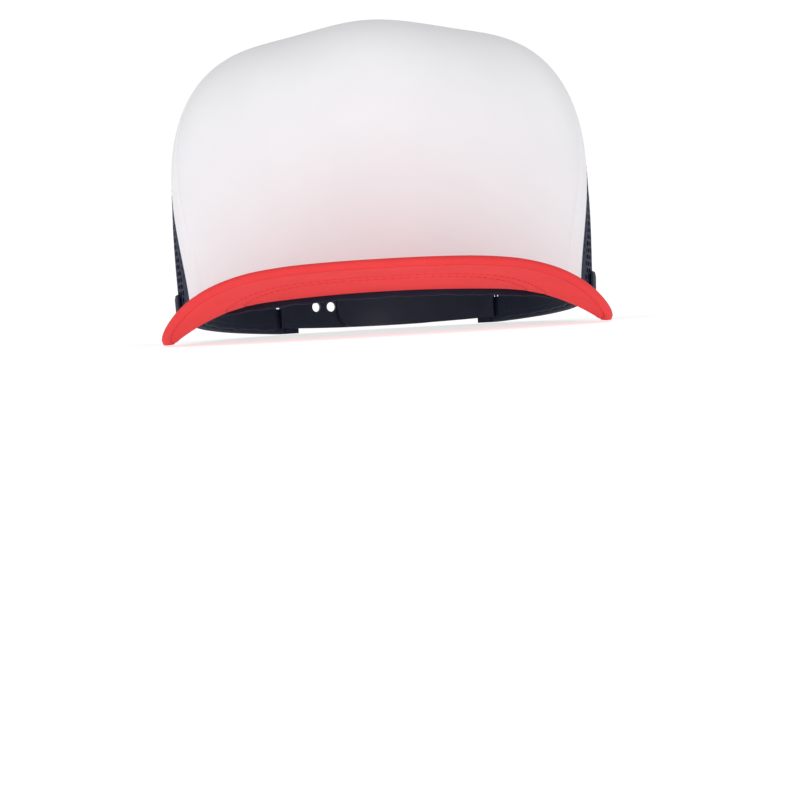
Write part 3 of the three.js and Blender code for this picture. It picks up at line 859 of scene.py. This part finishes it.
def makeFrontPanel():
    across = crowded(front["columns"], front["crowding"][0])
    up = crowded(front["rows"], front["crowding"][1])
    along, climb, width = panelPlaces(mirrored(frontSeam, -1), frontSeam, across, up)
    fromSeam = np.minimum(across, 1 - across)[:, None] * width
    beside = np.clip(fromSeam / np.minimum(front["rollWidth"], width / 4), 0, 1)
    roll = front["rollDepth"] * (1 - np.sqrt(1 - (1 - beside) ** 2))
    stitchedAt = front["stitchedAt"]
    groove = front["grooveDepth"] * np.exp(-(((fromSeam - stitchedAt) / front["grooveWidth"]) ** 2))
    strip = front["stripHeight"] * (1 - ease(fromSeam, *front["stripEnds"]))
    room = ease(width, 2 * stitchedAt, 3 * stitchedAt)
    soft = ease(fromSeam, *front["rippleFrom"]) * ripples(bareCrown(along, climb))
    lift = room * (strip - groove) - roll + soft
    piece = crownWall("front_panel", along, climb, lift, -cap["foam"])
    finishPiece(piece, ("front_panel",), materials["foamCloth"], edge=front["edge"])
    start = float(climbAt(frontSeam(0.0), footHeight(frontSeam(0.0)) + stitch["pitch"] / 2))
    end = float(climb[0][width[0] > front["stitchRoom"] * stitchedAt].max())
    lift = front["stitchLift"] - front["grooveDepth"]
    rows = [seamRow(frontSeam, side, -stitchedAt, start, end, lift) for side in (1, -1)]
    sewPiece("front_panel_stitches", rows, "whiteThread")


makeFrontPanel()
print("front panel made")

# Net panels

net = {
    "pitch": 3.2,
    "holeRadius": 1.08,
    "shoulderRadius": 1.14,  # where a strand rounds off towards its hole
    "shoulderRise": 0.21,
    "rise": 0.34,  # half of a strand's thickness
    "sides": 12,
    "merge": 0.01,
    "hem": 3.8,
    "overlap": 0.9,  # of the strands and the hem
    "sheetWidth": 124.0,
    "sheetHeight": 200.0,
    "reach": (110, 76),  # of the tables that lay the sheet on the crown: along the rim, and on the crown
    "stitchedAt": 2.1,
    "stitchedFrom": 11.0,  # above the panel's foot
    "stitchedTo": 0.86,  # in climb
    "topGap": 0.01,  # in climb, short of the button's shank
    "topTrim": 0.002,
}


def netSheet():
    # A flat net of round strands: two hexagons with round holes, repeated
    deselectAll()
    bpy.ops.mesh.primitive_circle_add(vertices=net["sides"], radius=net["holeRadius"])
    cell = bpy.context.object
    cell.name = "netSheet"
    editMode(cell)
    pickPoints()
    radii = (net["holeRadius"], net["shoulderRadius"], net["pitch"] / 2)
    for lastRadius, radius in zip(radii, radii[1:]):
        bpy.ops.mesh.extrude_region_move()
        grow = radius / lastRadius
        bpy.ops.transform.resize(value=(grow, grow, 1), center_override=(0, 0, 0))
    objectMode()
    points = pointsOf(cell)
    radius = np.linalg.norm(points[:, :2], axis=1)
    step = np.rint(np.arctan2(points[:, 1], points[:, 0]) / (2 * math.pi / net["sides"])).astype(int)
    onBorder = radius > (radii[1] + radii[2]) / 2
    onShoulder = ~onBorder & (radius > (radii[0] + radii[1]) / 2)
    side = np.where(step % 2 == 0, 1, 2 / math.sqrt(3))  # the corners of the hexagon lie further out
    points[:, :2] *= np.where(onBorder, side, 1)[:, None]
    points[:, 2] = np.where(onBorder, net["rise"], np.where(onShoulder, net["shoulderRise"], 0))
    setPoints(cell, points)
    rowStep = net["pitch"] * math.sqrt(3)
    editMode(cell)
    pickPoints()
    bpy.ops.mesh.duplicate_move()
    bpy.ops.transform.resize(value=(1, 1, -1), center_override=(0, 0, 0))
    pickPoints()
    bpy.ops.mesh.duplicate_move(TRANSFORM_OT_translate={"value": (net["pitch"] / 2, rowStep / 2, 0)})
    pickPoints()
    bpy.ops.mesh.remove_doubles(threshold=net["merge"])
    objectMode()
    across = int(net["sheetWidth"] / net["pitch"])
    up = int(net["sheetHeight"] / rowStep)
    for count, offset in ((across, (net["pitch"], 0, 0)), (up, (0, rowStep, 0))):
        applyModifier(
            cell, "ARRAY", count=count, use_relative_offset=False, use_constant_offset=True,
            constant_offset_displace=offset, use_merge_vertices=True, merge_threshold=net["merge"],
        )
    points = pointsOf(cell)
    setPoints(cell, points - (points[:, 0].mean(), points[:, 1].min() + rowStep, 0))
    return cell


def netPlaces(fromSeam, toSeam, s, t):
    # Along and climb of places on a flat panel: s across from its middle line, t up from the rim
    aside, widest = net["reach"]
    climbs = np.linspace(-0.06, 0.999, 140)
    middle = (fromSeam(climbs) + toSeam(climbs)) / 2
    heights = lengthsAlong(bareCrown(middle, climbs))
    heights = heights - np.interp(0, climbs, heights)
    reach = np.arange(-aside, aside + 1.0)
    table = []
    for climb, centre in zip(climbs, middle):
        lengths = lengthsAlong(bareCrown(centre + reach, climb))
        table.append(np.interp(np.arange(-widest, widest + 1), lengths - lengths[aside], centre + reach))
    table = np.array(table)
    row = np.interp(t, heights, np.arange(len(climbs)))
    column = np.clip(s + widest, 0, 2 * widest - 0.001)
    r, c = np.minimum(row.astype(int), len(climbs) - 2), column.astype(int)
    fr, fc = row - r, column - c
    lower = between(table[r, c], table[r, c + 1], fc)
    upper = between(table[r + 1, c], table[r + 1, c + 1], fc)
    return between(lower, upper, fr), np.interp(t, heights, climbs)


def makeNet(name, sheet, fromSeam, toSeam):
    piece = newObject(name, sheet.data.copy())
    flat = pointsOf(piece)
    setUv(piece, flat[:, :2] / 1000)
    along, climb = netPlaces(fromSeam, toSeam, flat[:, 0], flat[:, 1])
    inset = net["hem"] - net["overlap"]
    low = fromSeam(climb)
    high = toSeam(climb)
    low = low + inset / spread(low, climb)
    high = high - inset / spread(high, climb)
    middle = (low + high) / 2
    low, high = np.minimum(low, middle), np.maximum(high, middle)
    outside = (along < low) | (along > high)
    along = np.clip(along, low, high)
    places = np.arange(0, backAlong, 0.25)
    foot = np.interp(np.abs(along), places, climbAt(places, footHeight(places) + cap["clearance"]))
    top = topClimb(along) - net["topGap"] - net["topTrim"]
    outside |= (climb < foot) | (climb > top)
    climb = np.clip(climb, foot, top)
    rise = np.where(outside, 0, flat[:, 2])  # the strands thin out to nothing inside the hems
    setPoints(piece, stand(crown(along, climb, -cap["netInset"] - cap["net"] / 2 + rise)))
    corners = np.array([face.vertices[:] for face in piece.data.polygons])
    lost = (rise[corners] == 0).all(axis=1)
    editMode(piece, "FACE")
    pickPoints("DESELECT")
    objectMode()
    piece.data.polygons.foreach_set("select", lost)
    editMode(piece, "FACE")
    bpy.ops.mesh.delete(type="FACE")
    pickPoints()
    bpy.ops.mesh.remove_doubles(threshold=2e-5)
    turnOutwards()
    return piece


def makeHem(name, seam, otherSeam):
    # The double edge of a net panel beside a seam, narrower where the panel comes to its point
    start = climbAt(seam(0.0), footHeight(seam(0.0)) + cap["clearance"])
    climb = np.linspace(start, topClimb(seam(1.0)) - net["topGap"], 90)[None]
    base = seam(climb)
    panel = (otherSeam(climb) - base) * spread((base + otherSeam(climb)) / 2, climb)
    wide = np.minimum(net["hem"], 0.45 * np.abs(panel)) - cap["clearance"] / 2
    across = np.sign(panel) * (cap["clearance"] / 2 + wide * np.linspace(0, 1, 5)[:, None])
    along = base + across / spread(base, climb)
    outer = -cap["netInset"] + 0 * along
    return crownWall(name, along, climb + 0 * along, outer, outer - cap["net"])


def makeNetPanels():
    sheet = netSheet()
    rows = []
    for part, seams in {"side": (frontSeam, sideSeam), "back": (sideSeam, backSeam)}.items():
        for hand, side in (("left", 1), ("right", -1)):
            name = part + "_mesh_" + hand
            low, high = [mirrored(seam, side) for seam in seams][::side]
            netting = makeNet(name, sheet, low, high)
            hems = [makeHem(name + "HemA", low, high), makeHem(name + "HemB", high, low)]
            piece = joinPieces(name, netting, *hems)
            finishPiece(piece, (name,), materials["navyNet"], smoothAngle=80)
            for seam, away in zip(seams, (net["stitchedAt"], -net["stitchedAt"])):
                start = float(climbAt(seam(0.0), footHeight(seam(0.0)) + net["stitchedFrom"]))
                rows.append(seamRow(seam, side, away, start, net["stitchedTo"], 0.05 - cap["netInset"]))
            print(name, "faces:", len(piece.data.polygons))
    bpy.data.objects.remove(sheet)
    sewPiece("net_stitches", rows, "navyThread")


makeNetPanels()
print("net panels made")

# Sweatband

band = {
    "height": 33.0,
    "thickness": 1.5,
    "drop": 2.3,
    "footRun": 40.0,
    "endGap": 4.0,
    "anchor": 11.0,
    "columns": 300,
    "rows": 22,
    "edge": 0.5,
    "stitchedAt": (2.4, 30.6),
    "stitchMargin": 3.0,
    "puff": 0.3,
    "puffStart": (1.2, 5.0),
    "puffEnd": (27.5, 31.5),
    "waver": 0.3,
    "waverEnd": (0.0, 8.0),
    "waverWaves": (2.3, 7.1),
    "ripple": 0.1,
    "rippleStart": (3.0, 12.0),
    "rippleWaves": (7.3, 2.9),
}


def bandFoot(along):
    behind = ease(np.abs(along), peak["endAlong"], peak["endAlong"] + band["footRun"])
    return between(peakLevel(along) - peak["thickness"] / 2 - band["drop"], 0, behind)


def uneven(along, waves):
    # Two waves along the band that keep falling out of step
    return np.sin(along / waves[0]) * np.sin(along / waves[1] + 1)


def makeSweatband():
    end = backAlong - sewing["archHalfWidth"] - band["anchor"] - band["endGap"]
    along = np.linspace(-end, end, band["columns"] + 1)[:, None]
    up = np.linspace(0, 1, band["rows"] + 1)[None]
    level = up * band["height"]
    waver = band["waver"] * uneven(along, band["waverWaves"]) * (1 - ease(level, *band["waverEnd"]))
    height = bandFoot(along) + level + waver
    outer = -cap["foam"] - 2 * cap["clearance"]
    puff = band["puff"] * ease(level, *band["puffStart"]) * (1 - ease(level, *band["puffEnd"]))
    puff = puff + band["ripple"] * uneven(along, band["rippleWaves"]) * ease(level, *band["rippleStart"])
    innerFace = onCrown(along, height, outer - band["thickness"] - puff)
    piece = closeWall("sweatband", onCrown(along, height, outer), innerFace)
    finishPiece(piece, ("sweatband",), materials["navyCloth"], edge=band["edge"])
    rows = []
    line = np.linspace(band["stitchMargin"] - end, end - band["stitchMargin"], 500)
    for stitchedAt in band["stitchedAt"]:
        climb = climbAt(line, bandFoot(line) + stitchedAt)
        rows.append(stitchRow(crown(line, climb, outer - band["thickness"]), -crownNormal(line, climb)))
    sewPiece("sweatband_stitches", rows, "navyThread")


# Bindings folded over the edges of the net

binding = {
    "thickness": 0.9,
    "rimDepth": 10.0,
    "archDepth": 8.0,
    "foldSteps": 8,
    "legSteps": 6,
    "edge": 0.2,
    "thinnedBy": 0.35,  # the free edges are pressed thin
    "thinnedOver": 0.8,
    "stitchInset": 1.9,
    "stitchSink": 0.08,
    "waver": 0.06,
}


def foldedSection(depth):
    # The binding cut across: how deep over the net's edge, and how far off the crown's face
    outside = cap["clearance"] + binding["thickness"]
    faces = (-cap["netInset"], -cap["netInset"] - cap["net"])
    middle = sum(faces) / 2
    half = (faces[0] - faces[1]) / 2
    turn = np.linspace(math.pi / 2, -math.pi / 2, binding["foldSteps"] + 1)
    leg = np.linspace(1, 0, binding["legSteps"], endpoint=False)
    thinned = binding["thinnedBy"] * np.exp(-(((leg * depth - depth) / binding["thinnedOver"]) ** 2))
    outer = [(deep * depth, faces[0] + outside - thin) for deep, thin in zip(leg, thinned)]
    fold = [(-outside * math.cos(a), middle + (half + outside) * math.sin(a)) for a in turn]
    inner = [(deep * depth, faces[1] - outside + thin) for deep, thin in zip(leg[::-1], thinned[::-1])]
    gap = cap["clearance"]
    low, high = faces[1] - gap, faces[0] + gap
    ring = outer + fold + inner + [(depth, low), (-gap, low), (-gap, high), (depth, high)]
    return np.array(ring + ring[:1])


def makeBinding(name, along, height, inAlong, inHeight, depth):
    section = foldedSection(depth)
    deep, lift = section[None, :, 0], section[None, :, 1]
    waver = binding["waver"] * np.sin(np.arange(len(along)) * 0.9)[:, None] * ease(deep, 0, 3)
    alongHere = along[:, None] + inAlong[:, None] * deep
    heightHere = height[:, None] + inHeight[:, None] * deep
    piece = sheetFrom(name, onCrown(alongHere, heightHere, lift + waver))
    rollShut(piece)
    finishPiece(piece, (name,), materials["navyCloth"], edge=binding["edge"])
    place = depth - binding["stitchInset"]
    sewnAlong = along + inAlong * place
    climb = climbAt(sewnAlong, height + inHeight * place)
    outside = cap["clearance"] + binding["thickness"] - binding["stitchSink"]
    rows = []
    for side, face in ((1, -cap["netInset"]), (-1, -cap["netInset"] - cap["net"])):
        line = crown(sewnAlong, climb, face + side * outside)
        rows.append(stitchRow(line, side * crownNormal(sewnAlong, climb)))
    return rows


def makeBindings():
    start = peak["endAlong"] + sewing["peakEndRoom"]
    end = backAlong - sewing["archHalfWidth"] - binding["archDepth"] - cap["clearance"]
    rows = []
    for hand, side in (("left", 1), ("right", -1)):
        along = side * np.linspace(start, end, 130)
        zero = 0 * along
        rows += makeBinding("rim_binding_" + hand, along, zero, zero, zero + 1, binding["rimDepth"])
    turn = np.linspace(0, math.pi, 150)
    wide, high = sewing["archHalfWidth"], sewing["archHeight"]
    steep = np.hypot(np.cos(turn) / wide, np.sin(turn) / high)
    along = backAlong - wide * np.cos(turn)
    height = high * np.sin(turn)
    inAlong = -np.cos(turn) / wide / steep
    inHeight = np.sin(turn) / high / steep
    low = -cap["clearance"] - binding["thickness"]
    # Both ends go straight down to the rim's own binding
    along, inAlong = np.pad(along, 1, "edge"), np.pad(inAlong, 1, "edge")
    height, inHeight = np.pad(height, 1, constant_values=low), np.pad(inHeight, 1)
    rows += makeBinding("arch_binding", along, height, inAlong, inHeight, binding["archDepth"])
    sewPiece("binding_stitches", rows, "navyThread")


makeSweatband()
makeBindings()
print("sweatband and bindings made")

# Tapes over the seams, inside

tape = {
    "width": 11.0,
    "topWidth": 4.0,
    "narrowFrom": 0.6,  # in climb
    "thickness": 0.8,
    "edge": 0.25,
    "endGap": 1.0,
    "across": 9,
    "rows": 90,
    "stitchInset": 2.0,
    "stitchLift": 0.05,
    "stitchedTo": 0.9,  # in climb
}


def makeTape(name, seam, side, fromHeight, outerLift):
    start = climbAt(seam(0.3), fromHeight)
    end = topClimb(seam(1.0)) - (button["flange"] - button["shank"]) / cap["height"]
    climb = np.linspace(start, end, tape["rows"])[None]
    width = between(tape["width"], tape["topWidth"], ease(climb, tape["narrowFrom"], 1))
    across = np.linspace(-0.5, 0.5, tape["across"])[:, None]
    base = seam(climb)
    along = side * (base + across * width / spread(base, climb))
    outer = outerLift + 0 * along
    piece = crownWall(name, along, climb + 0 * along, outer, outer - tape["thickness"])
    finishPiece(piece, (name,), materials["navyCloth"], edge=tape["edge"])
    rows = []
    sewn = climb[0] < tape["stitchedTo"]
    climb, base, width = climb[0][sewn], base[0][sewn], width[0][sewn]
    for hand in (-1, 1):
        line = side * (base + hand * (width / 2 - tape["stitchInset"]) / spread(base, climb))
        lift = outerLift - tape["thickness"] - tape["stitchLift"]
        rows.append(stitchRow(crown(line, climb, lift), -crownNormal(line, climb)))
    return rows


def makeTapes():
    aboveBand = peak["arch"] + band["height"] + tape["endGap"]
    aboveArch = sewing["archHeight"] + binding["archDepth"] + tape["endGap"]
    foamLift = -cap["foam"] - cap["clearance"]
    netLift = -cap["netInset"] - cap["net"] - cap["clearance"]
    rows = []
    for hand, side in (("left", 1), ("right", -1)):
        rows += makeTape("front_seam_tape_" + hand, frontSeam, side, aboveBand, foamLift)
        rows += makeTape("side_seam_tape_" + hand, sideSeam, side, aboveBand, netLift)
    rows += makeTape("back_seam_tape", backSeam, 1, aboveArch, netLift)
    sewPiece("tape_stitches", rows, "navyThread")


makeTapes()
print("tapes made")

# Snap strap

strap = {
    "height": 19.0,
    "thickness": 1.3,
    "foot": 1.2,
    "anchor": 11.0,
    "tipRadius": 7.0,
    "stepLength": 18.0,
    "pitch": 8.0,
    "count": 8,
    "fastened": 6,
    "tipMargin": 5.0,
    "columns": (110, 14),  # on the straight part and round the tip
    "rows": (0, 0.02, 0.05, 0.075, 0.1, 0.2, 0.35, 0.5, 0.65, 0.8, 0.9, 0.925, 0.95, 0.98, 1),
    "tipEnd": 0.998,  # the share of the round tip that is made, so that it ends in a short edge
    "dish": 0.12,
    "lip": 0.22,
    "lipWidth": (1.5, 1.0),
    "pegRadius": 1.8,
    "pegSides": 20,
    "postLength": 1.0,
    "headRadius": 2.5,
    "headStart": 0.05,
    "headSteps": ((1.0, 0.45), (0.9, 0.3), (0.72, 0.2), (0.8, -0.12), (0.6, -0.35)),  # size and rise
    "holeRadius": 2.15,
    "holeSides": 28,
    "cutLength": 8.0,
    "rimOffset": 0.35,
    "rimRadius": 0.32,
    "rimSides": 6,
}
snapPlaces = [(index - (strap["fastened"] - 1) / 2) * strap["pitch"] for index in range(strap["count"])]
strapOverlap = strap["tipMargin"] - snapPlaces[0]
strapLift = -cap["foam"] - 2 * cap["clearance"]
pegStrapLift = strapLift - strap["thickness"] - cap["clearance"]


def stepInwards(distance):
    outwards = ease(distance, sewing["archHalfWidth"] - strap["stepLength"], sewing["archHalfWidth"])
    return between(pegStrapLift, strapLift, outwards)


def strapBody(name, side, liftAt):
    tipRadius = strap["tipRadius"]
    straightCount, tipCount = strap["columns"]
    anchorEnd = sewing["archHalfWidth"] + strap["anchor"]
    straight = np.linspace(anchorEnd, tipRadius - strapOverlap, straightCount)
    turn = np.linspace(0, math.pi / 2, tipCount)[1:]
    tip = tipRadius * (1 - strap["tipEnd"] * np.sin(turn)) - strapOverlap
    distance = np.concatenate([straight, tip])[:, None]
    into = np.clip((tipRadius - (distance + strapOverlap)) / tipRadius, 0, 1)
    trim = tipRadius * (1 - np.sqrt(1 - into**2))
    low = strap["foot"] + trim
    high = strap["foot"] + strap["height"] - trim
    height = between(low, high, np.array(strap["rows"])[None])
    fromEdge = np.minimum(np.minimum(height - low, high - height), distance + strapOverlap + 0 * height)
    lip = strap["lip"] * ease(fromEdge, *strap["lipWidth"])
    along = side * (backAlong - distance) + 0 * height
    lift = liftAt(distance) + 0 * height
    outer = onCrown(along, height, lift - strap["dish"] + lip)
    return closeWall(name, outer, onCrown(along, height, lift - strap["thickness"]))


def strapSpot(place, lift):
    # A place on the middle of the strap, in metres, and the way out from its face
    along = np.array([backAlong - place])
    climb = climbAt(along, strap["foot"] + strap["height"] / 2)
    here = stand(crown(along, climb, lift))[0]
    above = stand(crown(along, climb, lift + 1.0))[0]
    return Vector(here), Vector(above - here).normalized()


def placeShape(shape, spot, out):
    shape.data.transform(out.to_track_quat("Z", "Y").to_matrix().to_4x4())
    setPoints(shape, pointsOf(shape) + np.array(spot))
    return shape


def growTop(size, rise):
    bpy.ops.mesh.extrude_region_move(TRANSFORM_OT_translate={"value": (0, 0, rise / 1000)})
    bpy.ops.transform.resize(value=(size, size, 1), center_override=(0, 0, 0))


def addPeg(place, lift):
    # One snap: a post, a rounded head and a dimple in it
    radius, length = strap["pegRadius"] / 1000, strap["postLength"] / 1000
    deselectAll()
    bpy.ops.mesh.primitive_cylinder_add(vertices=strap["pegSides"], radius=radius, depth=length)
    peg = bpy.context.object
    postTop = (strap["thickness"] + 2 * cap["clearance"]) / 1000
    editMode(peg, "FACE")
    pickPoints("DESELECT")
    objectMode()
    for face in peg.data.polygons:
        face.select = face.normal.z > 0.9
    editMode(peg, "FACE")
    bpy.ops.transform.translate(value=(0, 0, postTop - length / 2))
    growTop(strap["headRadius"] / strap["pegRadius"], strap["headStart"])
    for size, rise in strap["headSteps"]:
        growTop(size, rise)
    objectMode()
    return placeShape(peg, *strapSpot(place, lift))


def holeShapes(place):
    # What cuts one hole, and the round rim of the hole
    spot = strapSpot(-place, strapLift)
    radius, sides = strap["holeRadius"] / 1000, strap["holeSides"]
    deselectAll()
    bpy.ops.mesh.primitive_cylinder_add(vertices=sides, radius=radius, depth=strap["cutLength"] / 1000)
    cutter = placeShape(bpy.context.object, *spot)
    deselectAll()
    bpy.ops.mesh.primitive_torus_add(
        major_segments=sides, minor_segments=strap["rimSides"],
        major_radius=radius + strap["rimOffset"] / 1000, minor_radius=strap["rimRadius"] / 1000,
    )
    return cutter, placeShape(bpy.context.object, *spot)


def makeStraps():
    pegStrap = strapBody("peg_strap", 1, stepInwards)
    pegs = [addPeg(place, float(stepInwards(place))) for place in snapPlaces]
    pegStrap = joinPieces("peg_strap", pegStrap, *pegs)
    finishPiece(pegStrap, ("peg_strap",), materials["navyPlastic"], smoothAngle=35)
    holeStrap = strapBody("hole_strap", -1, lambda distance: strapLift + 0 * distance)
    cutters, rims = zip(*(holeShapes(place) for place in snapPlaces))
    cutter = joinPieces("holes", *cutters)
    applyModifier(holeStrap, "BOOLEAN", operation="DIFFERENCE", object=cutter, solver="EXACT")
    bpy.data.objects.remove(cutter)
    holeStrap = joinPieces("hole_strap", holeStrap, *rims)
    finishPiece(holeStrap, ("hole_strap",), materials["navyPlastic"], smoothAngle=35)


makeStraps()
print("straps made")

# Button

def makeButton():
    seat = cap["clearance"]
    under = -cap["foam"] - 2 * cap["clearance"]
    rim, shank, flange = button["radius"], button["shank"], button["flange"]
    flangeFoot = under - button["flangeThickness"]
    profile = [
        (0.0, flangeFoot), (flange, flangeFoot), (flange, under), (shank, under), (shank, seat),
        (rim - 1.0, seat - 0.1), (rim - 0.3, seat + 0.1),  # the dome's edge turns in under it
    ]
    dome = button["height"] - button["rimHeight"]
    for angle in np.linspace(0, math.pi / 2, button["steps"]):
        profile.append((rim * math.cos(angle), seat + button["rimHeight"] + dome * math.sin(angle)))
    profile[-1] = (0.0, profile[-1][1])
    radius, high = np.array(profile).T[:, None]
    turn = np.linspace(0, 2 * math.pi, button["sides"] + 1)[:, None]
    onDome = high > seat + 0.05
    waves = np.sin(turn * button["pleats"]) * ease(radius, *button["pleatsFrom"])
    pleat = button["pleatDepth"] * waves * onDome
    radius = radius + pleat
    high = high + cap["height"] + cap["ridgeHeight"] + 0.5 * pleat
    back = cap["apexBack"] + radius * np.sin(turn)
    piece = sheetFrom("button", np.stack([radius * np.cos(turn), back, high], -1))
    rollShut(piece)
    finishPiece(piece, ("button",), materials["navyCloth"], edge=0.15, smoothAngle=60)


makeButton()
print("button made")
